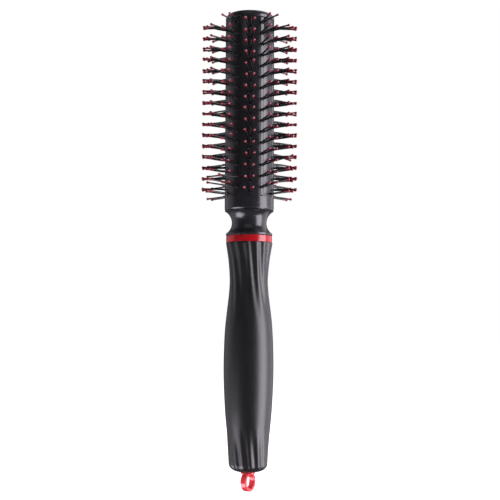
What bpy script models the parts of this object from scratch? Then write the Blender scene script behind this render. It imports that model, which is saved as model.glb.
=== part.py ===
"""Round barrel hair brush: pin strips in a slotted barrel, a fluted grip and a swivelling hang ring.

The brush stands on its hang ring. +Z runs up its axis, from the ring to the barrel's end cap, and
the origin is on that axis at the ring's lowest point. Row 1 of the pins faces -Y. The dimensions are
in millimetres, and MM turns them into Blender's metres.
"""

import math

import bmesh
import bpy

MM = 0.001
GAP = 0.3

# Barrel: a tube with twelve T-shaped channels, open at the top and blind at the bottom.
BARREL_BOTTOM = 142.8
BARREL_TOP = 241.5
BARREL_RADIUS = 12.5
BARREL_BORE = 8.8
BARREL_CHAMFER = 0.4
BARREL_SEGMENTS = 48
ROW_COUNT = 12
CHANNEL_BOTTOM = 149.5
CHANNEL_HALF_WIDTH = 1.9
CHANNEL_FLOOR = 9.9
CHANNEL_ROOF = 11.5
SLOT_BOTTOM = 149.1
SLOT_HALF_WIDTH = 1.2
SLOT_END_STEPS = 6

# Pin strips: a flange in the channel, a tongue in the slot, and pairs of pins in a V.
STRIP_BOTTOM = 150.3
STRIP_TOP = 241.2
FLANGE_HALF_WIDTH = 1.6
TONGUE_HALF_WIDTH = 0.9
TONGUE_MIDDLE = 0.2
TONGUE_TOP = 12.3
STATION_COUNT = 16
STATION_PITCH = 5.66
ODD_ROW_FIRST = 150.7
EVEN_ROW_FIRST = ODD_ROW_FIRST + STATION_PITCH / 2
PIN_HALF_LENGTH = 0.31
PIN_TIP_HALF = 0.3
PIN_TIP_RADIUS = 24.5
PIN_LEAN_DEG = 5.0

# End cap: a rounded plug that closes the barrel and holds the strips in.
CAP_TOP = 245.1
CAP_EDGE_RADIUS = 2.0
CAP_SPIGOT_BOTTOM = 232.0
CAP_SPIGOT_BORE = 6.5
CAP_HOLLOW_TOP = 242.8

# Neck: a waisted spool between the barrel and the accent ring, with a spigot at each end.
NECK_BOTTOM = 129.8
NECK_RIM_TOP = 130.9
NECK_RIM_RADIUS = 11.75
NECK_WAIST_HEIGHT = 136.4
NECK_WAIST_RADIUS = 8.8
NECK_LOWER_ARC = 6.6
NECK_UPPER_ARC = 6.85
NECK_LIP_RADIUS = 12.4
NECK_LIP_BOTTOM = 142.3
NECK_SPIGOT_TOP = 160.0
NECK_STUB_BOTTOM = 118.0
NECK_STUB_RADIUS = 6.3

# Spindle: the tube that ties the handle's core to the neck and the barrel.
SPINDLE_RADIUS = 4.2
SPINDLE_BORE = 2.8
SPINDLE_BOTTOM = 104.0

# Accent ring, between the neck and the grip.
ACCENT_RADIUS = 11.6
ACCENT_BOTTOM = 126.3

# Grip: a rubber sleeve over the core. Its outline is a smooth curve through these (height, radius).
GRIP_OUTLINE = (
    (14.0, 9.6),
    (26.0, 10.45),
    (42.0, 11.88),
    (62.0, 12.6),
    (82.7, 11.92),
    (104.0, 9.66),
    (116.0, 10.18),
    (126.0, 11.75),
)
GRIP_BOTTOM = 10.0
GRIP_END_INSET = 4.6
GRIP_WALL = 2.0
GRIP_TOP = 126.0
FLUTE_COUNT = 15
POINTS_PER_FLUTE = 4
FLUTE_DEPTH = 0.6
FLUTE_TWIST_DEG_PER_MM = 0.56
UPPER_FLUTES_FADE = (80.0, 98.0)
LOWER_FLUTES_FADE = (20.0, 36.0)
GRIP_END_HEIGHTS = (10.0, 10.3, 11.0, 12.2)
GRIP_OUTER_STEPS = 17
GRIP_INNER_FIRST = 19.0
GRIP_INNER_STEPS = 9

# Core: a hard tube inside the grip, stepped for the spindle and for the hang ring's bush.
CORE_BORE = 3.6
RING_SOCKET_TOP = 20.0

# Hang ring: a band ring under a flange, with a stem that turns in a bush in the handle's end.
RING_OUTER = 4.85
RING_INNER = 3.95
RING_WIDTH = 2.8
RING_YAW_DEG = -30.0
RING_FLANGE_RADIUS = 3.7
RING_FLANGE_BOTTOM = 8.9
STEM_RADIUS = 1.7
STEM_HEAD_RADIUS = 2.4
STEM_HEAD_BOTTOM = 17.3
STEM_HEAD_TOP = 19.0
BUSH_TOP = 17.0
BUSH_RADIUS = 3.9
BUSH_BORE = 2.0

BAND_SEGMENTS = 32
LARGE_SEGMENTS = 40
SMALL_SEGMENTS = 24
SMOOTH_UNDER_DEG = 35


def clear_scene():
    for item in list(bpy.data.objects):
        bpy.data.objects.remove(item, do_unlink=True)


def make_material(name, colour, roughness):
    material = bpy.data.materials.new(name)
    material.use_nodes = True
    shader = material.node_tree.nodes["Principled BSDF"]
    shader.inputs["Base Color"].default_value = (*colour, 1.0)
    shader.inputs["Roughness"].default_value = roughness
    shader.inputs["Metallic"].default_value = 0.0
    return material


def finish_mesh(name, shape):
    """Turn a bmesh in millimetres into a mesh in metres, with its faces pointing out."""
    bmesh.ops.recalc_face_normals(shape, faces=shape.faces)
    bmesh.ops.scale(shape, vec=(MM, MM, MM), verts=shape.verts)
    mesh = bpy.data.meshes.new(name)
    shape.to_mesh(mesh)
    shape.free()
    mesh.shade_smooth()
    mesh.set_sharp_from_angle(angle=math.radians(SMOOTH_UNDER_DEG))
    return mesh


def add_node(name, mesh, material):
    node = bpy.data.objects.new(name, mesh)
    if not mesh.materials:
        mesh.materials.append(material)
    bpy.context.scene.collection.objects.link(node)
    return node


def turned(outline, segments):
    """A bmesh turned about Z from an outline of (radius, height); a radius of 0 is on the axis.

    An outline with no point on the axis is closed into a ring."""
    shape = bmesh.new()
    turns = [2 * math.pi * step / segments for step in range(segments)]
    loops = []
    for radius, height in outline:
        if radius == 0:
            loops.append([shape.verts.new((0, 0, height))])
        else:
            loops.append([shape.verts.new((radius * math.cos(a), radius * math.sin(a), height)) for a in turns])
    pairs = list(zip(loops, loops[1:]))
    if outline[0][0] > 0:
        pairs.append((loops[-1], loops[0]))
    for first, second in pairs:
        join_loops(shape, first, second)
    return shape


def join_loops(shape, first, second):
    """Faces between two rings of points, or between a ring and a single point."""
    count = max(len(first), len(second))
    for step in range(count):
        after = (step + 1) % count
        corners = [
            first[step % len(first)],
            first[after % len(first)],
            second[after % len(second)],
            second[step % len(second)],
        ]
        shape.faces.new(list(dict.fromkeys(corners)))


def arc(centre_radius, centre_height, size, start_deg, end_deg, steps):
    """Points (radius, height) along an arc."""
    points = []
    for step in range(steps + 1):
        angle = math.radians(start_deg + (end_deg - start_deg) * step / steps)
        radius = centre_radius + size * math.cos(angle)
        points.append((radius, centre_height + size * math.sin(angle)))
    return points


def outline_slope(index):
    """The slope of the grip's outline at one of its points, from the points on both sides."""
    low = max(index - 1, 0)
    high = min(index + 1, len(GRIP_OUTLINE) - 1)
    rise = GRIP_OUTLINE[high][1] - GRIP_OUTLINE[low][1]
    return rise / (GRIP_OUTLINE[high][0] - GRIP_OUTLINE[low][0])


def grip_radius(height):
    """The grip's smooth radius at a height, with the rounded lower end."""
    first_height, first_radius = GRIP_OUTLINE[0]
    if height < first_height:
        drop = (first_height - height) / (first_height - GRIP_BOTTOM)
        return first_radius - GRIP_END_INSET * (1 - math.sqrt(1 - drop * drop))
    index = 0
    while index < len(GRIP_OUTLINE) - 2 and height > GRIP_OUTLINE[index + 1][0]:
        index += 1
    low_height, low_radius = GRIP_OUTLINE[index]
    high_height, high_radius = GRIP_OUTLINE[index + 1]
    span = high_height - low_height
    t = (height - low_height) / span
    return (
        low_radius * (2 * t**3 - 3 * t**2 + 1)
        + outline_slope(index) * span * (t**3 - 2 * t**2 + t)
        + high_radius * (3 * t**2 - 2 * t**3)
        + outline_slope(index + 1) * span * (t**3 - t**2)
    )


def ease(value, low, high):
    """0 below low, 1 above high, and a smooth step between."""
    t = min(max((value - low) / (high - low), 0), 1)
    return t * t * (3 - 2 * t)


def flute_depth(height):
    """The flutes run out towards the swell in the middle of the grip."""
    return FLUTE_DEPTH * (ease(height, *UPPER_FLUTES_FADE) + 1 - ease(height, *LOWER_FLUTES_FADE))


def spaced(low, high, count):
    return [low + (high - low) * step / count for step in range(count + 1)]


def grip_stations():
    """Heights shared by the grip's inner wall and the core's outer face, so that their gap stays even."""
    return [GRIP_OUTLINE[0][0]] + spaced(GRIP_INNER_FIRST, GRIP_TOP, GRIP_INNER_STEPS)


def rounded_slot(shape, low_radius, high_radius, half_width, bottom, top, steps):
    """A closed prism at -Y, as wide as a slot, with a half-round lower end when steps is over 1."""
    low_end = []
    for step in range(steps + 1):
        angle = math.pi + math.pi * step / steps
        rise = half_width * (1 + math.sin(angle)) if steps > 1 else 0
        low_end.append((half_width * math.cos(angle), bottom + rise))
    section = low_end + [(half_width, top), (-half_width, top)]
    inner = [shape.verts.new((x, -low_radius, z)) for x, z in section]
    outer = [shape.verts.new((x, -high_radius, z)) for x, z in section]
    shape.faces.new(inner)
    shape.faces.new(outer[::-1])
    join_loops(shape, inner, outer)


def row_cutter(name, low_radius, high_radius, half_width, bottom, steps):
    """One cutter with a prism at each row of pins."""
    shape = bmesh.new()
    for row in range(ROW_COUNT):
        before = set(shape.verts)
        rounded_slot(shape, low_radius, high_radius, half_width, bottom, BARREL_TOP + 1, steps)
        turn = math.radians(row * 360 / ROW_COUNT)
        for vert in set(shape.verts) - before:
            x, y = vert.co.x, vert.co.y
            vert.co.x = x * math.cos(turn) - y * math.sin(turn)
            vert.co.y = x * math.sin(turn) + y * math.cos(turn)
    cutter = bpy.data.objects.new(name, finish_mesh(name, shape))
    bpy.context.scene.collection.objects.link(cutter)
    cutter.hide_render = True
    cutter.display_type = "WIRE"
    return cutter


def make_barrel(material):
    outline = [
        (BARREL_BORE, BARREL_BOTTOM),
        (BARREL_RADIUS - BARREL_CHAMFER, BARREL_BOTTOM),
        (BARREL_RADIUS, BARREL_BOTTOM + BARREL_CHAMFER),
        (BARREL_RADIUS, BARREL_TOP),
        (BARREL_BORE, BARREL_TOP),
    ]
    barrel = add_node("barrel_shell", finish_mesh("barrel_shell", turned(outline, BARREL_SEGMENTS)), material)
    channel = (CHANNEL_FLOOR, CHANNEL_ROOF, CHANNEL_HALF_WIDTH, CHANNEL_BOTTOM)
    slot = (CHANNEL_FLOOR + 1, BARREL_RADIUS + 1, SLOT_HALF_WIDTH, SLOT_BOTTOM)
    cutters = [row_cutter("channel_cutter", *channel, 1), row_cutter("slot_cutter", *slot, SLOT_END_STEPS)]
    for cutter in cutters:
        cut = barrel.modifiers.new(cutter.name, "BOOLEAN")
        cut.operation = "DIFFERENCE"
        cut.object = cutter
        cut.solver = "EXACT"


def strip_mesh(name, first_station):
    """A pin strip at -Y. The tongue's top is a grid, and every other cell of its outer columns grows a pin."""
    columns = (-TONGUE_HALF_WIDTH, -TONGUE_MIDDLE, TONGUE_MIDDLE, TONGUE_HALF_WIDTH)
    stations = [first_station + STATION_PITCH * step for step in range(STATION_COUNT)]
    heights = [STRIP_BOTTOM]
    for station in stations:
        heights += [station - PIN_HALF_LENGTH, station + PIN_HALF_LENGTH]
    heights.append(STRIP_TOP)
    shape = bmesh.new()
    grid = [[shape.verts.new((x, -TONGUE_TOP, z)) for x in columns] for z in heights]
    pins = []
    for row, (lower, upper) in enumerate(zip(grid, grid[1:])):
        for column in range(len(columns) - 1):
            corners = [lower[column], lower[column + 1], upper[column + 1], upper[column]]
            face = shape.faces.new(corners)
            if row % 2 == 1 and column != 1:
                pins.append(face)
    add_strip_body(shape, grid)
    grow_pins(shape, pins)
    return finish_mesh(name, shape)


def add_strip_body(shape, grid):
    """The tongue's sides, the flange under it and the strip's two ends."""
    flange_top = CHANNEL_ROOF - GAP
    flange_bottom = CHANNEL_FLOOR + GAP
    section = (
        (TONGUE_HALF_WIDTH, flange_top),
        (FLANGE_HALF_WIDTH, flange_top),
        (FLANGE_HALF_WIDTH, flange_bottom),
        (-FLANGE_HALF_WIDTH, flange_bottom),
        (-FLANGE_HALF_WIDTH, flange_top),
        (-TONGUE_HALF_WIDTH, flange_top),
    )
    ends = [[shape.verts.new((x, -radius, z)) for x, radius in section] for z in (STRIP_BOTTOM, STRIP_TOP)]
    bottom, top = ends
    for step in range(len(section) - 1):
        shape.faces.new([bottom[step], bottom[step + 1], top[step + 1], top[step]])
    right_edge = [row[-1] for row in grid]
    left_edge = [row[0] for row in grid]
    shape.faces.new([*right_edge, top[0], bottom[0]])
    shape.faces.new([*left_edge, top[-1], bottom[-1]])
    shape.faces.new([*grid[0], *bottom])
    shape.faces.new([*grid[-1], *top])


def grow_pins(shape, faces):
    """Draw each face out into a tapered pin that leans away from the row's middle."""
    lean = math.radians(PIN_LEAN_DEG)
    for face in bmesh.ops.extrude_discrete_faces(shape, faces=faces)["faces"]:
        centre = face.calc_center_median()
        side = math.copysign(1, centre.x)
        for vert in face.verts:
            along_x = math.copysign(PIN_TIP_HALF, vert.co.x - centre.x)
            along_z = math.copysign(PIN_TIP_HALF, vert.co.z - centre.z)
            vert.co.x = side * PIN_TIP_RADIUS * math.sin(lean) + along_x
            vert.co.y = -PIN_TIP_RADIUS * math.cos(lean)
            vert.co.z = centre.z + along_z


def make_strips(material):
    meshes = [strip_mesh("odd_strip", ODD_ROW_FIRST), strip_mesh("even_strip", EVEN_ROW_FIRST)]
    for row in range(ROW_COUNT):
        strip = add_node(f"bristle_strip_{row + 1:02d}", meshes[row % 2], material)
        strip.rotation_euler.z = math.radians(row * 360 / ROW_COUNT)


def make_end_cap(material):
    bottom = BARREL_TOP + GAP
    edge = arc(BARREL_RADIUS - CAP_EDGE_RADIUS, CAP_TOP - CAP_EDGE_RADIUS, CAP_EDGE_RADIUS, 0, 90, 4)
    outline = [
        (0, CAP_HOLLOW_TOP),
        (CAP_SPIGOT_BORE, CAP_HOLLOW_TOP),
        (CAP_SPIGOT_BORE, CAP_SPIGOT_BOTTOM),
        (BARREL_BORE - GAP, CAP_SPIGOT_BOTTOM),
        (BARREL_BORE - GAP, bottom),
        (BARREL_RADIUS, bottom),
        *edge,
        (0, CAP_TOP),
    ]
    add_node("end_cap", finish_mesh("end_cap", turned(outline, LARGE_SEGMENTS)), material)


def neck_waist():
    """The concave side of the neck, from its rim up to its lip, as two arcs that meet at the waist."""
    drop = NECK_WAIST_HEIGHT - NECK_RIM_TOP
    rise = NECK_LIP_BOTTOM - NECK_WAIST_HEIGHT
    lower_end = 180 + math.degrees(math.asin(drop / NECK_LOWER_ARC))
    upper_end = 180 - math.degrees(math.asin(rise / NECK_UPPER_ARC))
    lower_centre = NECK_WAIST_RADIUS + NECK_LOWER_ARC
    upper_centre = NECK_WAIST_RADIUS + NECK_UPPER_ARC
    lower = arc(lower_centre, NECK_WAIST_HEIGHT, NECK_LOWER_ARC, lower_end, 180, 5)
    upper = arc(upper_centre, NECK_WAIST_HEIGHT, NECK_UPPER_ARC, 180, upper_end, 5)
    return lower + upper[1:]


def make_neck(material):
    bore = SPINDLE_RADIUS + GAP
    lip = BARREL_BOTTOM - GAP
    spigot = BARREL_BORE - GAP
    outline = [
        (bore, NECK_STUB_BOTTOM),
        (NECK_STUB_RADIUS, NECK_STUB_BOTTOM),
        (NECK_STUB_RADIUS, NECK_BOTTOM),
        (NECK_RIM_RADIUS, NECK_BOTTOM),
        *neck_waist(),
        (NECK_LIP_RADIUS, lip),
        (spigot, lip),
        (spigot, NECK_SPIGOT_TOP),
        (bore, NECK_SPIGOT_TOP),
    ]
    add_node("neck_collar", finish_mesh("neck_collar", turned(outline, LARGE_SEGMENTS)), material)


def make_spindle(material):
    outline = [
        (SPINDLE_BORE, SPINDLE_BOTTOM),
        (SPINDLE_RADIUS, SPINDLE_BOTTOM),
        (SPINDLE_RADIUS, NECK_SPIGOT_TOP),
        (SPINDLE_BORE, NECK_SPIGOT_TOP),
    ]
    add_node("spindle", finish_mesh("spindle", turned(outline, SMALL_SEGMENTS)), material)


def make_accent_ring(material):
    top = NECK_BOTTOM - GAP
    outline = [
        (NECK_STUB_RADIUS + GAP, ACCENT_BOTTOM),
        (ACCENT_RADIUS, ACCENT_BOTTOM),
        (ACCENT_RADIUS, top),
        (NECK_STUB_RADIUS + GAP, top),
    ]
    add_node("accent_ring", finish_mesh("accent_ring", turned(outline, LARGE_SEGMENTS)), material)


def make_core(material):
    inset = GRIP_WALL + GAP
    bottom = GRIP_BOTTOM + GRIP_WALL + GAP
    socket = BUSH_RADIUS + GAP
    seat = SPINDLE_RADIUS + GAP
    counterbore = NECK_STUB_RADIUS + GAP
    outline = [
        (CORE_BORE, RING_SOCKET_TOP),
        (socket, RING_SOCKET_TOP),
        (socket, bottom),
        (grip_radius(bottom) - inset, bottom),
        *[(grip_radius(z) - inset, z) for z in grip_stations()],
        (counterbore, GRIP_TOP),
        (counterbore, NECK_STUB_BOTTOM - GAP),
        (seat, NECK_STUB_BOTTOM - GAP),
        (seat, SPINDLE_BOTTOM - GAP),
        (CORE_BORE, SPINDLE_BOTTOM - GAP),
    ]
    add_node("handle_core", finish_mesh("handle_core", turned(outline, SMALL_SEGMENTS)), material)


def flute_turns(height):
    """The angles of a loop's points at a height, turned on by the flutes' twist. The first is a crest."""
    twist = math.radians(FLUTE_TWIST_DEG_PER_MM * (GRIP_TOP - height))
    count = FLUTE_COUNT * POINTS_PER_FLUTE
    return [twist + 2 * math.pi * step / count for step in range(count)]


def fluted_loop(shape, height):
    """A ring of points around the grip, down into a flute and back up to a crest, over and over."""
    loop = []
    for step, angle in enumerate(flute_turns(height)):
        dip = (1 - math.cos(2 * math.pi * step / POINTS_PER_FLUTE)) / 2
        radius = grip_radius(height) - flute_depth(height) * dip
        loop.append(shape.verts.new((radius * math.cos(angle), radius * math.sin(angle), height)))
    return loop


def plain_loop(shape, radius, height):
    """A ring of points that lines up with the fluted loop at the same height."""
    return [shape.verts.new((radius * math.cos(a), radius * math.sin(a), height)) for a in flute_turns(height)]


def make_grip(material):
    shape = bmesh.new()
    inner_floor = GRIP_BOTTOM + GRIP_WALL
    hole = BUSH_RADIUS + GAP
    loops = [plain_loop(shape, hole, inner_floor), plain_loop(shape, hole, GRIP_BOTTOM)]
    loops += [fluted_loop(shape, z) for z in GRIP_END_HEIGHTS]
    loops += [fluted_loop(shape, z) for z in spaced(GRIP_OUTLINE[0][0], GRIP_TOP, GRIP_OUTER_STEPS)]
    loops += [plain_loop(shape, grip_radius(z) - GRIP_WALL, z) for z in reversed(grip_stations())]
    loops.append(plain_loop(shape, grip_radius(inner_floor) - GRIP_WALL, inner_floor))
    for first, second in zip(loops, loops[1:] + loops[:1]):
        join_loops(shape, first, second)
    add_node("handle_grip", finish_mesh("handle_grip", shape), material)


def make_bush(material):
    outline = [
        (BUSH_BORE, GRIP_BOTTOM),
        (BUSH_RADIUS, GRIP_BOTTOM),
        (BUSH_RADIUS, BUSH_TOP),
        (BUSH_BORE, BUSH_TOP),
    ]
    add_node("ring_bush", finish_mesh("ring_bush", turned(outline, SMALL_SEGMENTS)), material)


def band_ring_shape():
    """The ring that hangs on a hook: a short tube, with its hole across the brush."""
    half = RING_WIDTH / 2
    section = [(RING_INNER, -half), (RING_OUTER, -half), (RING_OUTER, half), (RING_INNER, half)]
    shape = turned(section, BAND_SEGMENTS)
    yaw = math.radians(RING_YAW_DEG)
    for vert in shape.verts:
        x, y, z = vert.co
        vert.co = (z * math.cos(yaw) - x * math.sin(yaw), z * math.sin(yaw) + x * math.cos(yaw), y + RING_OUTER)
    return shape


def make_hang_ring(material):
    """The origin is on the stem's axis, which is the swivel's axis."""
    flange_top = GRIP_BOTTOM - GAP
    outline = [
        (0, RING_FLANGE_BOTTOM),
        (RING_FLANGE_RADIUS, RING_FLANGE_BOTTOM),
        (RING_FLANGE_RADIUS, flange_top),
        (STEM_RADIUS, flange_top),
        (STEM_RADIUS, STEM_HEAD_BOTTOM),
        (STEM_HEAD_RADIUS, STEM_HEAD_BOTTOM),
        (STEM_RADIUS, STEM_HEAD_TOP),
        (0, STEM_HEAD_TOP),
    ]
    band = bpy.data.objects.new("band_helper", finish_mesh("band_helper", band_ring_shape()))
    bpy.context.scene.collection.objects.link(band)
    band.hide_render = True
    band.display_type = "WIRE"
    ring = add_node("hang_ring", finish_mesh("hang_ring", turned(outline, SMALL_SEGMENTS)), material)
    union = ring.modifiers.new("band", "BOOLEAN")
    union.operation = "UNION"
    union.object = band
    union.solver = "EXACT"


def main():
    clear_scene()
    gloss_black = make_material("barrel_black", (0.012, 0.012, 0.014), 0.25)
    nylon_black = make_material("bristle_nylon", (0.01, 0.009, 0.01), 0.45)
    rubber_black = make_material("grip_rubber", (0.022, 0.02, 0.022), 0.6)
    plain_black = make_material("core_plastic", (0.03, 0.03, 0.032), 0.5)
    accent_red = make_material("accent_red", (0.35, 0.005, 0.012), 0.2)
    make_barrel(gloss_black)
    make_strips(nylon_black)
    make_end_cap(gloss_black)
    make_neck(gloss_black)
    make_spindle(plain_black)
    make_accent_ring(accent_red)
    make_core(plain_black)
    make_grip(rubber_black)
    make_bush(plain_black)
    make_hang_ring(accent_red)


main()
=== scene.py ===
"""The looks of the round barrel hair brush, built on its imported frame.

Shapes are worked out in millimetres and turned into metres by MM. Azimuths are turned from the front
of the brush (-Y) towards its right (+X), and heights run up its axis from the hang ring.
"""

import math
import random

import bmesh
import bpy
from mathutils import Matrix, Vector


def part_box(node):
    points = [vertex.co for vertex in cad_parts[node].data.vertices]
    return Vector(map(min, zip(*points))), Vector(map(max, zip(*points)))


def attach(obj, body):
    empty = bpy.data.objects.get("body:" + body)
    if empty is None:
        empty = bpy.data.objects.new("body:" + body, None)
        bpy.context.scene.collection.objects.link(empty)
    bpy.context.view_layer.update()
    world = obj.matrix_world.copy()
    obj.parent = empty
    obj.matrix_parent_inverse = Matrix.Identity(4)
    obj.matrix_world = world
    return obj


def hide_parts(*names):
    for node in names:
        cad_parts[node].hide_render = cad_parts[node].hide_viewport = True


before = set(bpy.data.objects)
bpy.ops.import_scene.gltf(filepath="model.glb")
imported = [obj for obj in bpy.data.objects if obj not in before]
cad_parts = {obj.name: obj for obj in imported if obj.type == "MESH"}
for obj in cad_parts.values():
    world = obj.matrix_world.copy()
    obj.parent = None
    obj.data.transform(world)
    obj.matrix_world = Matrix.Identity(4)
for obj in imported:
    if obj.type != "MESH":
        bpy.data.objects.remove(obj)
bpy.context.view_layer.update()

MM = 0.001
SEED = 11
ROUND_SEGMENTS = 144
SHARP_ANGLE_DEG = 50

# The CAD leaves FIT_GAP between fitted pieces. The looks close it to SEAM, and stand SKIN proud.
FIT_GAP = 0.3
SEAM = 0.12
SKIN = 0.15

# Edge wear: an attribute that is 1 where the surface bends outwards at WORN_RADIUS or tighter
WEAR_MARKS = "edge_wear"
WORN_RADIUS = 0.6
WEAR_ROUGHNESS = 0.12
SMALLEST_SPAN = 0.01

# Barrel: its bevel is (inwards, upwards, rounding)
BARREL_BORE = 8.8
BORE_CHAMFER = 0.3
BARREL_BEVEL = ((3, 0, 0), (0.34, 0, 0.08), (0, 0.66, 0.4), (0, 2, 0))
BARREL_TOP_EDGE = ((0, 0.35), (0.25, 0.06), (0.5, 0))
ROW_COUNT = 12
SLOT_HALF_WIDTH = 0.98
SLOT_START = 1.2
SLOT_FLOOR = 11.35
SLOT_EDGE_ROUNDING = 0.06
SLOT_END_ROWS = 24
SLOT_END_LEAD = 0.6
SLOT_END_STEP = 0.1
SLOT_FLOOR_SHARES = (0.35, 0.7)
SLOT_EDGE_OFFSETS_DEG = (-0.55, -0.3, -0.1, 0.1, 0.3, 0.55)
BETWEEN_SLOTS_DEG = (1.3, 3.2, 6.2)

# Cap: its top face is (radius, depth, rounding)
CAP_SPIGOT_RADIUS = 8.5
CAP_SPIGOT_BORE = 6.5
CAP_EDGE_RADIUS = 2.3
CAP_TOP_FACE = (
    (9.2, 0, 0.08),
    (9.0, 0.18, 0.08),
    (8.75, 0.18, 0),
    (1.35, 0.18, 0),
    (1.1, 0.18, 0.08),
    (0.9, 0.35, 0.05),
    (0, 0.35, 0),
)

# Pin strips: a tongue in each slot
TONGUE_HALF_WIDTH = 0.97
TONGUE_TOP = 12.58
TONGUE_FOOT = 11.45
TONGUE_CROWN = 0.035
TONGUE_SHOULDER = 0.04
TONGUE_DROP = 0.95
TONGUE_END_STEPS = 8
LOOSE_TONGUE_HALF_WIDTH = 0.8
LOOSE_SHOULDER = 0.14

# Pins: shafts that thicken at the foot, along a path that strays and bends a little
STATION_COUNT = 16
STATION_PITCH = 5.66
FIRST_STATION = 0.4
PIN_SIDES = 10
PIN_FOOT_OFFSET = 0.55
PIN_FOOT_DEPTH = 0.25
PIN_FOOT_RADIUS = 0.5
PIN_FOOT_EXTRAS = (0.34, 0.14, 0.01, -0.03, -0.06, -0.09)
PIN_NECK_RADIUS = 0.38
PIN_LEAN_DEG = 5.0
PIN_SHARES = (0, 0.03, 0.07, 0.3, 0.55, 0.8, 1.0)
BEND_SPREAD = (0.12, 0.22)
LEAN_SPREAD = 0.2
RISE_SPREAD = 0.17
FRONT_RISE = (1.2, 0.5)
STRAY_SHARE = 0.06
STRAY_SPREAD = 1.0
STRAY_LEAN = 0.4

# Ball tips, the painted highlight on their outer ends, and the coating that runs from them down the
# pins
BALL_RADIUS = 0.69
BALL_SIZES = (0.92, 1.06)
BALL_STRETCH = 1.1
BALL_OVERHANG = 0.35
BALL_RINGS = 8
BALL_SIDES = 12
# Rings at each ball's outer end that get the pinkish material: a painted highlight
PAINTED_HIGHLIGHT_RINGS = 1
DIP_LENGTH = 2.2
DIP_SHARES = (1.0, 0.94, 0.6, 0.3, 0)
DIP_EXTRAS = (0.005, 0.045, 0.06, 0.09, 0.16)

# Neck
NECK_BORE = 4.5
NECK_STUB_RADIUS = 6.3
NECK_SPIGOT_RADIUS = 8.5
NECK_RIM_RADIUS = 11.75
NECK_RIM_HEIGHT = 1.1
NECK_RIM_START = 8
NECK_WAIST_RADIUS = 8.8
NECK_WAIST_HEIGHT = 6.6
NECK_LOWER_ARC = 6.6
NECK_UPPER_ARC = 6.85
NECK_ARC_STEPS = 20
NECK_LIP_RADIUS = 12.4
NECK_LIP_DROP = 0.2

# Accent ring
ACCENT_BORE = 6.6
ACCENT_CROWN = 0.06
ACCENT_ROUNDINGS = (0.05, 0.35)

# Grip: the outline's points are (height, radius), and its top edge is (downwards, inwards, flutes)
GRIP_OUTLINE = (
    (14.0, 9.6),
    (26.0, 10.45),
    (42.0, 11.88),
    (62.0, 12.6),
    (82.7, 11.92),
    (104.0, 9.66),
    (116.0, 10.18),
    (126.0, 11.75),
)
GRIP_TOP_EDGE = ((0.08, 0.1, 0.95), (0, 0.35, 0.85))
GRIP_TOP_EDGE_HEIGHT = 0.3
GRIP_END_INSET = 5.2
GRIP_WALL = 2.0
GRIP_HOLE = 4.2
GRIP_END_ROWS = 12
GRIP_ROWS = 150
GRIP_INNER_ROWS = 30
FLUTE_COUNT = 15
FLUTE_DEPTH = 0.66
FLUTE_SHARE_PROUD = 0.3
FLUTE_TWIST_DEG_PER_MM = 0.56
UPPER_FLUTES_FADE = (78.0, 128.0)
LOWER_FLUTES_FADE = (19.0, 36.0)
LOWER_FLUTES_STRENGTH = 0.76
POINTS_PER_FLUTE = 18

# Hang ring
RING_OUTER = 4.9
RING_INNER = 3.5
RING_WIDTH = 3.2
RING_ROUNDINGS = (0.25, 0.3)
RING_YAW_DEG = -32.0
RING_SEGMENTS = 96
RING_FLANGE_RADIUS = 3.7
RING_FLANGE_HEIGHT = 0.8
STEM_RADIUS = 1.7
STEM_HEAD_RADIUS = 2.4
STEM_HEAD_HEIGHT = 1.7
STEM_SEGMENTS = 64

# Camera, in metres
VIEW_DISTANCE = 0.559
VIEW_LENS = 78.3
VIEW_SENSOR = 36.0
VIEW_CLIP_START = 0.01
VIEW_ELEVATION_DEG = -4.3
VIEW_HEIGHT = 0.1224
VIEW_SIDE = 0.0005
VIEW_ROLL_DEG = 0.25

# Lights: name, azimuth and elevation in degrees, distance, width, height, radiance
SOFTBOXES = (
    ("key_right", 71, -5, 1.0, 0.72, 1.56, 8.0),
    ("card_right_back", 122, 0, 1.1, 1.0, 1.8, 1.3),
    ("card_left", -112, 0, 1.1, 1.2, 1.8, 0.5),
    ("low_left", -72, -42, 0.7, 0.5, 0.42, 8.0),
    ("top_back", 140, 60, 0.9, 0.7, 0.7, 1.0),
    ("front_fill", -10, 45, 1.2, 0.8, 0.6, 0.5),
)
SOFTBOX_COLOUR = (1.0, 0.955, 1.05)
ROOM_COLOUR = (0.93, 0.88, 1.0, 1)
ROOM_STRENGTH = 0.16
WHITE = (1, 1, 1, 1)
FLOOR_HALF_WIDTH = 6.0
FLOOR_DROP = 0.0005

# Noise scales, in features per metre
CLOUD_SCALE = 220
SMEAR_SCALE = CLOUD_SCALE * 3
SMEAR_STRETCH = (1, 1, 0.25)


def node_top(node):
    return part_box(node)[1].z / MM


def node_bottom(node):
    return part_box(node)[0].z / MM


def node_radius(node):
    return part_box(node)[1].x / MM


# Meshes


def make_piece(name, points, faces, material, body, nodes):
    """A smooth piece from points in millimetres, which rides on a body and stands for CAD nodes."""
    mesh = bpy.data.meshes.new(name)
    mesh.from_pydata([(x * MM, y * MM, z * MM) for x, y, z in points], [], faces)
    mesh.validate()
    mesh.shade_smooth()
    mesh.set_sharp_from_angle(angle=math.radians(SHARP_ANGLE_DEG))
    mesh.materials.append(material)
    piece = bpy.data.objects.new(name, mesh)
    bpy.context.scene.collection.objects.link(piece)
    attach(piece, body)
    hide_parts(*nodes)
    return piece


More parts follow.
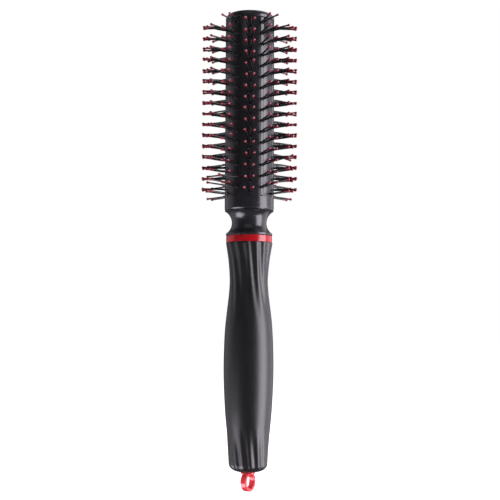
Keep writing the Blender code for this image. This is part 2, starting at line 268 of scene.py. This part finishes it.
def mark_edges(piece):
    """Write WEAR_MARKS: how sharply the surface bends outwards at each point."""
    marks = piece.data.attributes.new(WEAR_MARKS, "FLOAT", "POINT")
    shape = bmesh.new()
    shape.from_mesh(piece.data)
    for vertex in shape.verts:
        bends = [0]
        for edge in vertex.link_edges:
            if len(edge.link_faces) == 2:
                first, second = edge.link_faces
                span = (first.calc_center_median() - second.calc_center_median()).length
                span = max(span, SMALLEST_SPAN * MM)
                bends.append(edge.calc_face_angle_signed(0) * WORN_RADIUS * MM / span)
        marks.data[vertex.index].value = min(max(bends), 1)
    shape.free()


def bridge(faces, first, second, count):
    """Quads between two closed loops of points, given by the number of their first points."""
    for step in range(count):
        after = (step + 1) % count
        faces.append((first + step, first + after, second + after, second + step))


def turned(outline, segments=ROUND_SEGMENTS):
    """Points and faces turned about Z from (radius, height) points, anticlockwise, outer side up.

    Points on the axis close the shape; without them the outline is closed into a ring."""
    points, faces, loops = [], [], []
    for radius, height in outline:
        loops.append((len(points), radius > 0))
        count = segments if radius > 0 else 1
        for step in range(count):
            angle = 2 * math.pi * step / segments
            points.append((radius * math.cos(angle), radius * math.sin(angle), height))
    pairs = list(zip(loops, loops[1:]))
    if outline[0][0] > 0:
        pairs.append((loops[-1], loops[0]))
    for (low, low_is_loop), (high, high_is_loop) in pairs:
        if low_is_loop and high_is_loop:
            bridge(faces, low, high, segments)
        elif low_is_loop:
            faces.extend((low + s, low + (s + 1) % segments, high) for s in range(segments))
        elif high_is_loop:
            faces.extend((low, high + (s + 1) % segments, high + s) for s in range(segments))
    return points, faces


def rounded(outline, steps=6):
    """A closed outline of (radius, height, rounding) with its corners turned into arcs."""
    result = []
    count = len(outline)
    for index, (radius, height, rounding) in enumerate(outline):
        corner = Vector((radius, height))
        if not rounding:
            result.append((radius, height))
            continue
        before = (Vector(outline[index - 1][:2]) - corner).normalized()
        after = (Vector(outline[(index + 1) % count][:2]) - corner).normalized()
        half = before.angle(after) / 2
        reach = rounding / math.tan(half)
        start, end = corner + before * reach, corner + after * reach
        centre = corner + (before + after).normalized() * (rounding / math.sin(half))
        for step in range(steps + 1):
            spoke = (start - centre).lerp(end - centre, step / steps)
            point = centre + spoke.normalized() * rounding
            result.append((point.x, point.y))
    return result


def arc(centre, size, start_deg, end_deg, steps):
    """Points (radius, height) along an arc."""
    span_deg = end_deg - start_deg
    angles = [math.radians(start_deg + span_deg * step / steps) for step in range(steps + 1)]
    return [(centre[0] + size * math.cos(a), centre[1] + size * math.sin(a)) for a in angles]


def ease(value, low, high):
    """0 below low, 1 above high, and a smooth step between."""
    t = min(max((value - low) / (high - low), 0), 1)
    return t * t * (3 - 2 * t)


def turn_point(point, azimuth):
    """A point of row 1, at -Y, turned to another azimuth."""
    x, y, z = point
    across, along = math.cos(azimuth), math.sin(azimuth)
    return (x * across - y * along, x * along + y * across, z)


# Materials


def node_material(name, colour, roughness, **settings):
    """A Principled material, with its node tree and shader for more nodes."""
    material = bpy.data.materials.new(name)
    material.use_nodes = True
    tree = material.node_tree
    shader = tree.nodes["Principled BSDF"]
    shader.inputs["Base Color"].default_value = (*colour, 1)
    shader.inputs["Roughness"].default_value = roughness
    for socket, value in settings.items():
        shader.inputs[socket.replace("_", " ")].default_value = value
    return material, tree, shader


def add_noise(tree, scale, detail=3.0, stretch=(1, 1, 1)):
    """A noise texture in the piece's own coordinates, in features per metre."""
    where = tree.nodes.new("ShaderNodeTexCoord")
    mapping = tree.nodes.new("ShaderNodeMapping")
    mapping.inputs["Scale"].default_value = stretch
    noise = tree.nodes.new("ShaderNodeTexNoise")
    noise.inputs["Scale"].default_value = scale
    noise.inputs["Detail"].default_value = detail
    tree.links.new(where.outputs["Object"], mapping.inputs["Vector"])
    tree.links.new(mapping.outputs["Vector"], noise.inputs["Vector"])
    return noise.outputs["Fac"]


def spread(tree, value, low, high, low_in=0.3, high_in=0.7):
    """Map a value to a range. The limits suit noise, which seldom leaves them."""
    node = tree.nodes.new("ShaderNodeMapRange")
    node.inputs["From Min"].default_value = low_in
    node.inputs["From Max"].default_value = high_in
    node.inputs["To Min"].default_value = low
    node.inputs["To Max"].default_value = high
    tree.links.new(value, node.inputs["Value"])
    return node.outputs["Result"]


def colour_between(tree, factor, first, second):
    """A mix of two colours. The first may be a node's output."""
    node = tree.nodes.new("ShaderNodeMix")
    node.data_type = "RGBA"
    low, high = [socket for socket in node.inputs if socket.type == "RGBA"]
    if isinstance(first, tuple):
        low.default_value = (*first, 1)
    else:
        tree.links.new(first, low)
    high.default_value = (*second, 1)
    tree.links.new(factor, node.inputs["Factor"])
    return next(socket for socket in node.outputs if socket.type == "RGBA")


def combine(tree, operation, first, second):
    """A Math node on two values. The second may be a number."""
    node = tree.nodes.new("ShaderNodeMath")
    node.operation = operation
    tree.links.new(first, node.inputs[0])
    if isinstance(second, float):
        node.inputs[1].default_value = second
    else:
        tree.links.new(second, node.inputs[1])
    return node.outputs["Value"]


def add_bump(tree, shader, height, depth):
    """A bump of a depth in metres."""
    bump = tree.nodes.new("ShaderNodeBump")
    bump.inputs["Strength"].default_value = 1.0
    bump.inputs["Distance"].default_value = depth
    tree.links.new(height, bump.inputs["Height"])
    tree.links.new(bump.outputs["Normal"], shader.inputs["Normal"])


def edge_wear(tree, cloud):
    """A mask of the piece's proud edges, broken up by noise."""
    marks = tree.nodes.new("ShaderNodeAttribute")
    marks.attribute_name = WEAR_MARKS
    edges = spread(tree, marks.outputs["Fac"], 0, 1, 0.3, 1.0)
    return combine(tree, "MULTIPLY", edges, spread(tree, cloud, 0.25, 1))


def make_moulded(name, base, lifted, roughness, grain_scale, grain_depth, wear_and_highlight=None, **settings):
    """Moulded plastic or rubber: cloudy colour and roughness over a fine grain.

    Where worn is given, the edges that mark_edges found are rubbed to that colour."""
    material, tree, shader = node_material(name, base, roughness[0], **settings)
    cloud = add_noise(tree, CLOUD_SCALE)
    colour = colour_between(tree, spread(tree, cloud, 0, 1), base, lifted)
    gloss = spread(tree, add_noise(tree, SMEAR_SCALE, 4, SMEAR_STRETCH), *roughness)
    if wear_and_highlight:
        wear = edge_wear(tree, cloud)
        colour = colour_between(tree, wear, colour, wear_and_highlight)
        gloss = combine(tree, "ADD", gloss, combine(tree, "MULTIPLY", wear, WEAR_ROUGHNESS))
    tree.links.new(colour, shader.inputs["Base Color"])
    tree.links.new(gloss, shader.inputs["Roughness"])
    add_bump(tree, shader, add_noise(tree, grain_scale, 2), grain_depth)
    return material


# Pieces


def barrel_azimuths():
    """Azimuths round the barrel, close together at the slots' edges."""
    half = math.degrees(math.asin(SLOT_HALF_WIDTH / node_radius("barrel_shell")))
    side = [half * share for share in SLOT_FLOOR_SHARES]
    side += [half + offset for offset in SLOT_EDGE_OFFSETS_DEG + BETWEEN_SLOTS_DEG]
    sector = [-value for value in reversed(side)] + [0] + side
    rows = [row * 360 / ROW_COUNT for row in range(ROW_COUNT)]
    return [math.radians(row + value) for row in rows for value in sector]


def slot_depth(azimuth, height, slot_end, radius):
    """How far the surface drops into the nearest slot: 0 outside it and 1 on its floor."""
    pitch = 2 * math.pi / ROW_COUNT
    from_row = (azimuth + pitch / 2) % pitch - pitch / 2
    across = radius * math.sin(from_row)
    along = min(height - (slot_end + SLOT_HALF_WIDTH), 0)
    edge = SLOT_HALF_WIDTH - math.hypot(across, along)
    return ease(edge, -SLOT_EDGE_ROUNDING * 0.3, SLOT_EDGE_ROUNDING * 0.7)


def make_barrel(material):
    """The tube, closed round its bore, with a slot for each strip that ends in a half round."""
    bottom, top = node_bottom("barrel_shell") - FIT_GAP + SEAM, node_top("barrel_shell")
    radius = node_radius("barrel_shell") + SKIN
    slot_end = node_bottom("bristle_strip_01") - SLOT_START
    azimuths = barrel_azimuths()
    bevel = [(radius - inwards, bottom + up, size) for inwards, up, size in BARREL_BEVEL]
    first_row = slot_end - SLOT_END_LEAD
    heights = [first_row + SLOT_END_STEP * step for step in range(SLOT_END_ROWS)]
    heights += [slot_end + 3, slot_end + 20, top - 20]
    outline = [(BARREL_BORE, bottom + BORE_CHAMFER), (BARREL_BORE + BORE_CHAMFER, bottom)]
    outline += rounded(bevel, 5)
    outline += [(radius, height) for height in heights]
    outline += [(radius - inwards, top - down) for inwards, down in BARREL_TOP_EDGE]
    outline.append((BARREL_BORE, top))
    points, faces = [], []
    for level, height in outline:
        for azimuth in azimuths:
            reach = level
            if level > SLOT_FLOOR:
                reach -= (level - SLOT_FLOOR) * slot_depth(azimuth, height, slot_end, radius)
            points.append((reach * math.sin(azimuth), -reach * math.cos(azimuth), height))
    count = len(azimuths)
    for loop in range(len(outline)):
        bridge(faces, loop * count, (loop + 1) % len(outline) * count, count)
    nodes = ["barrel_shell"]
    mark_edges(make_piece("barrel", points, faces, material, "brush", nodes))


def make_cap(material):
    """The cap: a hollow spigot, a rounded edge and a top face that is sunk a little."""
    bottom, top = node_bottom("end_cap"), node_top("end_cap")
    radius = node_radius("end_cap") + SKIN
    seam = node_top("barrel_shell") + SEAM
    corners = [
        (CAP_SPIGOT_BORE, bottom, 0),
        (CAP_SPIGOT_RADIUS, bottom, 0.3),
        (CAP_SPIGOT_RADIUS, seam, 0),
        (radius, seam, 0.2),
        (radius, top, CAP_EDGE_RADIUS),
    ]
    corners += [(size, top - depth, rounding) for size, depth, rounding in CAP_TOP_FACE]
    outline = [(0, seam + 1), (CAP_SPIGOT_BORE, seam + 1), *rounded(corners, 8)]
    points, faces = turned(outline)
    nodes = ["end_cap"]
    mark_edges(make_piece("cap", points, faces, material, "brush", nodes))


def tongue_section(half_width, shoulder):
    """The tongue's cross-section: (across, radius) points from its left foot to its right."""
    side = TONGUE_TOP - TONGUE_CROWN
    ease_in = min(shoulder, half_width * 0.5)
    right = [(half_width, TONGUE_FOOT), (half_width, side - shoulder)]
    right += [(half_width - ease_in * 0.3, side - shoulder * 0.3), (half_width - ease_in, side)]
    for share in (0.6, 0.35, 0.15):
        right.append((half_width * share, TONGUE_TOP - TONGUE_CROWN * share * share))
    return [(-x, radius) for x, radius in right] + [(0, TONGUE_TOP)] + right[::-1]


def tongue_mesh(points, faces, bottom, top, loose):
    """The strip's tongue: a crowned bar with a round lower end, in the slot at -Y.

    A loose one is narrower than its slot, and its shoulders are rounder."""
    widest = LOOSE_TONGUE_HALF_WIDTH if loose else TONGUE_HALF_WIDTH
    shoulder = LOOSE_SHOULDER if loose else TONGUE_SHOULDER
    heights = []
    for step in range(1, TONGUE_END_STEPS + 1):
        angle = math.pi / 2 * step / TONGUE_END_STEPS
        heights.append((bottom + widest * (1 - math.cos(angle)), widest * math.sin(angle)))
    heights += [(bottom + 20, widest), (top - 20, widest), (top, widest)]
    first = len(points)
    for height, half_width in heights:
        section = tongue_section(half_width, shoulder)
        points.extend((x, -radius, height) for x, radius in section)
    close_tube(faces, first, len(heights), len(section))


def close_tube(faces, first, loops, count):
    """Quads along a tube of loops of points, and a face at each of its ends."""
    for loop in range(loops - 1):
        bridge(faces, first + loop * count, first + (loop + 1) * count, count)
    last = first + (loops - 1) * count
    faces.append(tuple(range(first + count - 1, first - 1, -1)))
    faces.append(tuple(range(last, last + count)))


def frame_across(direction):
    """Two directions at right angles to a pin."""
    side = direction.cross(Vector((0, 0, 1))).normalized()
    return side, direction.cross(side).normalized()


def tube_mesh(points, faces, path, radii):
    """A closed tube along a path."""
    first = len(points)
    for index, (centre, radius) in enumerate(zip(path, radii)):
        ahead = path[min(index + 1, len(path) - 1)] - path[max(index - 1, 0)]
        side, up = frame_across(ahead.normalized())
        for step in range(PIN_SIDES):
            angle = 2 * math.pi * step / PIN_SIDES
            spoke = side * math.cos(angle) * radius + up * math.sin(angle) * radius
            points.append(tuple(centre + spoke))
    close_tube(faces, first, len(path), PIN_SIDES)


def ball_mesh(points, faces, wear_and_highlight, centre, direction, radius):
    """A ball tip, longer along its pin. The number of its outer end's first face, where the highlight
    is painted, goes into the given list.
    """
    side, up = frame_across(direction)
    pole = direction * radius * BALL_STRETCH
    first = len(points)
    points.append(tuple(centre - pole))
    for ring in range(1, BALL_RINGS):
        angle = math.pi * ring / BALL_RINGS
        middle = centre - pole * math.cos(angle)
        for step in range(BALL_SIDES):
            turn = 2 * math.pi * step / BALL_SIDES
            spoke = (side * math.cos(turn) + up * math.sin(turn)) * radius * math.sin(angle)
            points.append(tuple(middle + spoke))
    points.append(tuple(centre + pole))
    end = len(points) - 1
    for step in range(BALL_SIDES):
        faces.append((first, first + 1 + (step + 1) % BALL_SIDES, first + 1 + step))
    for ring in range(BALL_RINGS - 2):
        # From here to the pole is the ball's outer end, which gets the painted highlight
        if ring == BALL_RINGS - 2 - PAINTED_HIGHLIGHT_RINGS:
            wear_and_highlight.append(len(faces))
        loop = first + 1 + ring * BALL_SIDES
        bridge(faces, loop, loop + BALL_SIDES, BALL_SIDES)
    for step in range(BALL_SIDES):
        faces.append((end, end - BALL_SIDES + step, end - BALL_SIDES + (step + 1) % BALL_SIDES))


def pin_path(rng, station, side, tip_radius, tip_rise):
    """A pin's path from the tongue to its ball: it leans outwards, strays and bends slightly."""
    lean = math.radians(PIN_LEAN_DEG)
    stray = STRAY_SPREAD if rng.random() < STRAY_SHARE else 0
    shift = rng.gauss(0, LEAN_SPREAD + stray * STRAY_LEAN)
    rise = tip_rise + rng.gauss(0, RISE_SPREAD + stray)
    across, outwards = tip_radius * math.sin(lean), tip_radius * math.cos(lean)
    foot = Vector((side * PIN_FOOT_OFFSET, -(TONGUE_TOP - PIN_FOOT_DEPTH), station))
    tip = Vector((side * across + shift, -outwards, station + rise))
    bend = Vector((rng.gauss(0, BEND_SPREAD[0]), 0, rng.gauss(0, BEND_SPREAD[1])))
    return [foot.lerp(tip, t) + bend * 4 * t * (1 - t) * (1 - 0.4 * t) for t in PIN_SHARES]


def dip_mesh(points, faces, path):
    """The coating that runs from the ball a little way down its pin."""
    tip = path[-1]
    down = (path[-2] - tip).normalized()
    steps = [tip + down * DIP_LENGTH * share for share in DIP_SHARES]
    tube_mesh(points, faces, steps, [PIN_NECK_RADIUS + extra for extra in DIP_EXTRAS])


def make_strips(pin_material, ball_material, painted_highlight_material):
    """Each strip's tongue and pins as one piece, and its ball tips as another.

    Every third tongue sits loose. The tips rise a little more towards the front (-Y)."""
    rng = random.Random(SEED)
    radii = [*(PIN_FOOT_RADIUS + extra for extra in PIN_FOOT_EXTRAS), PIN_NECK_RADIUS]
    tip_radius = node_radius("bristle_strip_04") + BALL_OVERHANG - BALL_RADIUS * BALL_STRETCH
    for row in range(ROW_COUNT):
        number = f"{row + 1:02d}"
        nodes = [f"bristle_strip_{number}"]
        azimuth = math.radians(row * 360 / ROW_COUNT)
        bottom, top = node_bottom(nodes[0]), node_top(nodes[0])
        first = bottom + FIRST_STATION + STATION_PITCH / 2 * (row % 2)
        points, faces, ball_points, ball_faces, wear_and_highlight = [], [], [], [], []
        tongue_mesh(points, faces, bottom - TONGUE_DROP, top, row % 3 == 0)
        for station in range(STATION_COUNT):
            rise = FRONT_RISE[0] + FRONT_RISE[1] * station / STATION_COUNT
            rise *= math.cos(azimuth)
            for side in (-1, 1):
                path = pin_path(rng, first + STATION_PITCH * station, side, tip_radius, rise)
                tube_mesh(points, faces, path, radii)
                dip_mesh(ball_points, ball_faces, path)
                direction = (path[-1] - path[-2]).normalized()
                size = BALL_RADIUS * rng.uniform(*BALL_SIZES)
                ball_mesh(ball_points, ball_faces, wear_and_highlight, path[-1], direction, size)
        points = [turn_point(point, azimuth) for point in points]
        ball_points = [turn_point(point, azimuth) for point in ball_points]
        name = f"nylon_strip_{number}"
        make_piece(name, points, faces, pin_material, "brush", nodes)
        name = f"ball_tips_{number}"
        balls = make_piece(name, ball_points, ball_faces, ball_material, "brush", nodes)
        # Each ball's outer end gets the pinkish second material: a painted highlight
        balls.data.materials.append(painted_highlight_material)
        for start in wear_and_highlight:
            for face in range(start, start + BALL_SIDES * (PAINTED_HIGHLIGHT_RINGS + 1)):
                balls.data.polygons[face].material_index = 1


def make_neck(material):
    """The waisted spool: a rim, two arcs that meet at the waist, a lip and a spigot at each end."""
    bottom = node_top("accent_ring") + SEAM
    lip = node_bottom("barrel_shell") - FIT_GAP
    waist = bottom + NECK_WAIST_HEIGHT
    rim_top = bottom + NECK_RIM_HEIGHT
    lower_deg = 180 + math.degrees(math.asin((waist - rim_top) / NECK_LOWER_ARC))
    upper_deg = 180 - math.degrees(math.asin((lip - NECK_LIP_DROP - waist) / NECK_UPPER_ARC))
    waist_radius = NECK_WAIST_RADIUS + SKIN
    lower_centre = (waist_radius + NECK_LOWER_ARC, waist)
    upper_centre = (waist_radius + NECK_UPPER_ARC, waist)
    lower = arc(lower_centre, NECK_LOWER_ARC, lower_deg, 180, NECK_ARC_STEPS)
    upper = arc(upper_centre, NECK_UPPER_ARC, 180, upper_deg, NECK_ARC_STEPS)
    radius = NECK_RIM_RADIUS + SKIN
    corners = [(NECK_RIM_START, bottom, 0), (radius, bottom, 0.2), (radius, rim_top - 0.1, 0)]
    foot, head = node_bottom("neck_collar"), node_top("neck_collar")
    outline = [(NECK_BORE, foot), (NECK_STUB_RADIUS, foot), (NECK_STUB_RADIUS, bottom)]
    outline += [*rounded(corners, 5)[1:], *lower, *upper[1:]]
    outline += [(NECK_LIP_RADIUS, lip), (NECK_SPIGOT_RADIUS, lip)]
    outline += [(NECK_SPIGOT_RADIUS, head), (NECK_BORE, head)]
    points, faces = turned(outline)
    nodes = ["neck_collar"]
    mark_edges(make_piece("neck", points, faces, material, "brush", nodes))


def make_accent(material):
    """The red band, slightly crowned."""
    bottom, top = node_bottom("accent_ring") - FIT_GAP + SEAM, node_top("accent_ring")
    radius = node_radius("accent_ring") + SKIN
    corners = [
        (ACCENT_BORE, bottom, 0),
        (radius, bottom, ACCENT_ROUNDINGS[0]),
        (radius + ACCENT_CROWN, (bottom + top) / 2, 0),
        (radius, top, ACCENT_ROUNDINGS[1]),
        (ACCENT_BORE, top, 0),
    ]
    points, faces = turned(rounded(corners))
    nodes = ["accent_ring"]
    mark_edges(make_piece("accent_band", points, faces, material, "brush", nodes))


def outline_slope(index):
    """The grip outline's slope at one of its points."""
    low = GRIP_OUTLINE[max(index - 1, 0)]
    high = GRIP_OUTLINE[min(index + 1, len(GRIP_OUTLINE) - 1)]
    return (high[1] - low[1]) / (high[0] - low[0])


def grip_radius(height, bottom):
    """The grip's smooth radius at a height, with its rounded lower end."""
    first_height, first_radius = GRIP_OUTLINE[0]
    if height < first_height:
        drop = min((first_height - height) / (first_height - bottom), 1)
        return first_radius + SKIN - GRIP_END_INSET * (1 - math.sqrt(1 - drop * drop))
    index = 0
    while index < len(GRIP_OUTLINE) - 2 and height > GRIP_OUTLINE[index + 1][0]:
        index += 1
    (low_height, low_radius), (high_height, high_radius) = GRIP_OUTLINE[index : index + 2]
    span = high_height - low_height
    t = (height - low_height) / span
    return SKIN + (
        low_radius * (2 * t**3 - 3 * t**2 + 1)
        + outline_slope(index) * span * (t**3 - 2 * t**2 + t)
        + high_radius * (3 * t**2 - 2 * t**3)
        + outline_slope(index + 1) * span * (t**3 - t**2)
    )


def flute_strength(height):
    """How deep the flutes are at a height: full at the grip's top and nothing at its middle."""
    lower = LOWER_FLUTES_STRENGTH * (1 - ease(height, *LOWER_FLUTES_FADE))
    return ease(height, *UPPER_FLUTES_FADE) + lower


def fluted_loop(height, radius, top, strength):
    """A ring of points around the grip, in waves whose crests twist on down the grip."""
    twist = math.radians(FLUTE_TWIST_DEG_PER_MM * (top - height))
    loop = []
    for step in range(FLUTE_COUNT * POINTS_PER_FLUTE):
        share = step / POINTS_PER_FLUTE
        angle = twist + 2 * math.pi * share / FLUTE_COUNT
        valley = 0.5 - 0.5 * math.cos(2 * math.pi * share)
        reach = radius - FLUTE_DEPTH * strength * (valley - FLUTE_SHARE_PROUD)
        loop.append((reach * math.cos(angle), reach * math.sin(angle), height))
    return loop


def make_grip(material):
    """The rubber sleeve: a fluted outside and a plain inside, closed round its lower end's hole."""
    bottom, top = node_bottom("handle_grip"), node_top("handle_grip")
    first, floor = GRIP_OUTLINE[0][0], bottom + GRIP_WALL
    rows = [(floor, GRIP_HOLE, 0), (bottom, GRIP_HOLE, 0)]
    for step in range(GRIP_END_ROWS):
        height = first - (first - bottom) * math.cos(math.pi / 2 * step / GRIP_END_ROWS)
        strength = flute_strength(height) * ease(step, 1, GRIP_END_ROWS)
        rows.append((height, grip_radius(height, bottom), strength))
    for step in range(GRIP_ROWS + 1):
        height = first + (top - GRIP_TOP_EDGE_HEIGHT - first) * step / GRIP_ROWS
        rows.append((height, grip_radius(height, bottom), flute_strength(height)))
    for down, inwards, strength in GRIP_TOP_EDGE:
        rows.append((top - down, grip_radius(top, bottom) - inwards, strength))
    for step in range(GRIP_INNER_ROWS + 1):
        height = top - (top - first) * step / GRIP_INNER_ROWS
        rows.append((height, grip_radius(height, bottom) - GRIP_WALL, 0))
    rows.append((floor, grip_radius(floor, bottom) - GRIP_WALL, 0))
    points, faces = [], []
    count = FLUTE_COUNT * POINTS_PER_FLUTE
    for row, (height, radius, strength) in enumerate(rows):
        points += fluted_loop(height, radius, top, strength)
        bridge(faces, row * count, (row + 1) % len(rows) * count, count)
    nodes = ["handle_grip"]
    mark_edges(make_piece("grip", points, faces, material, "brush", nodes))


def make_hang_ring(material):
    """The band ring, and its flange with the stem, each a closed part of one moulding."""
    top = node_top("hang_ring")
    outer, inner, half = RING_OUTER, RING_INNER, RING_WIDTH / 2
    inner_size, outer_size = RING_ROUNDINGS
    corners = [
        (inner, -half, inner_size),
        (outer, -half, outer_size),
        (outer, half, outer_size),
        (inner, half, inner_size),
    ]
    ring_points, faces = turned(rounded(corners, 5), RING_SEGMENTS)
    standing = [(z, x, y + outer) for x, y, z in ring_points]
    points = [turn_point(point, math.radians(RING_YAW_DEG)) for point in standing]
    flange_top = node_bottom("handle_grip") - FIT_GAP
    stem = [
        (0, flange_top - RING_FLANGE_HEIGHT, 0),
        (RING_FLANGE_RADIUS, flange_top - RING_FLANGE_HEIGHT, 0.25),
        (RING_FLANGE_RADIUS, flange_top, 0.15),
        (STEM_RADIUS, flange_top, 0.1),
        (STEM_RADIUS, top - STEM_HEAD_HEIGHT, 0),
        (STEM_HEAD_RADIUS, top - STEM_HEAD_HEIGHT, 0.1),
        (STEM_RADIUS, top, 0.2),
        (0, top, 0),
    ]
    stem_points, stem_faces = turned(rounded(stem, 4), STEM_SEGMENTS)
    offset = len(points)
    points += stem_points
    faces += [tuple(index + offset for index in face) for face in stem_faces]
    nodes = ["hang_ring"]
    make_piece("hook_ring", points, faces, material, "hang_ring", nodes)


def dress_hidden_nodes(material):
    """The pieces inside the handle keep their CAD shape and get a moulded plastic."""
    for name in ("spindle", "handle_core", "ring_bush"):
        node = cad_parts[name]
        node.data.materials.clear()
        node.data.materials.append(material)


# Stage


def aimed(position, target):
    """The matrix of a camera or light at a position, looking at a target."""
    turn = (target - position).to_track_quat("-Z", "Y").to_matrix().to_4x4()
    return Matrix.Translation(position) @ turn


def make_camera():
    camera = bpy.data.objects.new("camera", bpy.data.cameras.new("camera"))
    bpy.context.scene.collection.objects.link(camera)
    camera.data.lens = VIEW_LENS
    camera.data.sensor_width = VIEW_SENSOR
    camera.data.clip_start = VIEW_CLIP_START
    elevation = math.radians(VIEW_ELEVATION_DEG)
    target = Vector((VIEW_SIDE, 0, VIEW_HEIGHT))
    position = target + Vector((0, -math.cos(elevation), math.sin(elevation))) * VIEW_DISTANCE
    roll = Matrix.Rotation(math.radians(VIEW_ROLL_DEG), 4, "Z")
    camera.matrix_world = aimed(position, target) @ roll
    bpy.context.scene.camera = camera


def add_softbox(name, azimuth_deg, elevation_deg, distance, width, height, radiance):
    """A rectangular light that faces the brush. Radiance is what its surface shows in a mirror."""
    light = bpy.data.lights.new(name, "AREA")
    light.shape = "RECTANGLE"
    light.size, light.size_y = width, height
    light.energy = radiance * math.pi * width * height
    light.color = SOFTBOX_COLOUR
    box = bpy.data.objects.new(name, light)
    bpy.context.scene.collection.objects.link(box)
    azimuth, elevation = math.radians(azimuth_deg), math.radians(elevation_deg)
    level = math.cos(elevation)
    out = Vector((math.sin(azimuth) * level, -math.cos(azimuth) * level, math.sin(elevation)))
    target = Vector((0, 0, VIEW_HEIGHT))
    box.matrix_world = aimed(target + out * distance, target)


def make_world():
    """A dim grey room that the camera sees as plain white, also through clear plastic."""
    world = bpy.data.worlds.new("studio")
    bpy.context.scene.world = world
    world.use_nodes = True
    tree = world.node_tree
    room = tree.nodes["Background"]
    room.inputs["Color"].default_value = ROOM_COLOUR
    room.inputs["Strength"].default_value = ROOM_STRENGTH
    white = tree.nodes.new("ShaderNodeBackground")
    white.inputs["Color"].default_value = WHITE
    white.inputs["Strength"].default_value = 1.0
    path = tree.nodes.new("ShaderNodeLightPath").outputs
    seen = combine(tree, "MAXIMUM", path["Is Camera Ray"], path["Is Transmission Ray"])
    mix = tree.nodes.new("ShaderNodeMixShader")
    tree.links.new(seen, mix.inputs["Fac"])
    tree.links.new(room.outputs["Background"], mix.inputs[1])
    tree.links.new(white.outputs["Background"], mix.inputs[2])
    tree.links.new(mix.outputs["Shader"], tree.nodes["World Output"].inputs["Surface"])


def make_floor():
    """A pale floor under the ring, lit to white."""
    material, _, shader = node_material("floor_white", (0.9, 0.9, 0.9), 0.9)
    shader.inputs["Emission Color"].default_value = WHITE
    shader.inputs["Emission Strength"].default_value = 1.0
    mesh = bpy.data.meshes.new("floor")
    half = FLOOR_HALF_WIDTH
    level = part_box("hang_ring")[0].z - FLOOR_DROP
    corners = [(-half, -half, level), (half, -half, level), (half, half, level), (-half, half, level)]
    mesh.from_pydata(corners, [], [(0, 1, 2, 3)])
    mesh.materials.append(material)
    floor = bpy.data.objects.new("floor", mesh)
    bpy.context.scene.collection.objects.link(floor)
    floor.visible_glossy = False
    floor.visible_diffuse = False
    floor.visible_transmission = False
    floor.visible_shadow = False


def make_pieces():
    """Every piece with its material: colours, roughness, and the grain's scale and depth in metres."""
    gloss = make_moulded(
        name="gloss_black",
        base=(0.008, 0.008, 0.009),
        lifted=(0.012, 0.012, 0.014),
        roughness=(0.2, 0.3),
        grain_scale=2600,
        grain_depth=0.00001,
        wear_and_highlight=(0.03, 0.03, 0.033),
        IOR=1.5,
    )
    nylon = make_moulded(
        name="nylon_black",
        base=(0.004, 0.0035, 0.004),
        lifted=(0.008, 0.007, 0.008),
        roughness=(0.2, 0.3),
        grain_scale=3500,
        grain_depth=0.00001,
    )
    rubber = make_moulded(
        name="soft_rubber",
        base=(0.004, 0.004, 0.004),
        lifted=(0.006, 0.006, 0.006),
        roughness=(0.33, 0.39),
        grain_scale=4200,
        grain_depth=0.00003,
        wear_and_highlight=(0.014, 0.014, 0.014),
    )
    plain = make_moulded(
        name="core_black",
        base=(0.02, 0.02, 0.022),
        lifted=(0.035, 0.035, 0.038),
        roughness=(0.45, 0.6),
        grain_scale=1800,
        grain_depth=0.00003,
    )
    band_red = make_moulded(
        name="band_red",
        base=(0.31, 0.001, 0.004),
        lifted=(0.35, 0.002, 0.006),
        roughness=(0.15, 0.24),
        grain_scale=2200,
        grain_depth=0.000008,
        wear_and_highlight=(0.4, 0.02, 0.03),
    )
    ball_red = make_moulded(
        name="ball_red",
        base=(0.15, 0.002, 0.012),
        lifted=(0.21, 0.004, 0.018),
        roughness=(0.26, 0.34),
        grain_scale=3000,
        grain_depth=0.000008,
    )
    # Pinkish red for the balls' outer ends: a painted highlight
    ball_painted_highlight = make_moulded(
        name="ball_painted_highlight",
        base=(0.21, 0.055, 0.075),
        lifted=(0.31, 0.1, 0.13),
        roughness=(0.3, 0.4),
        grain_scale=3000,
        grain_depth=0.000008,
    )
    clear_red = make_moulded(
        name="clear_red",
        base=(0.8, 0.05, 0.07),
        lifted=(0.86, 0.08, 0.1),
        roughness=(0.08, 0.16),
        grain_scale=1500,
        grain_depth=0.00001,
        Transmission_Weight=0.5,
    )
    make_barrel(gloss)
    make_cap(gloss)
    make_strips(nylon, ball_red, ball_painted_highlight)
    make_neck(gloss)
    make_accent(band_red)
    make_grip(rubber)
    make_hang_ring(clear_red)
    dress_hidden_nodes(plain)


def main():
    bpy.context.scene.view_settings.view_transform = "Standard"
    make_pieces()
    make_camera()
    for softbox in SOFTBOXES:
        add_softbox(*softbox)
    make_world()
    make_floor()


main()
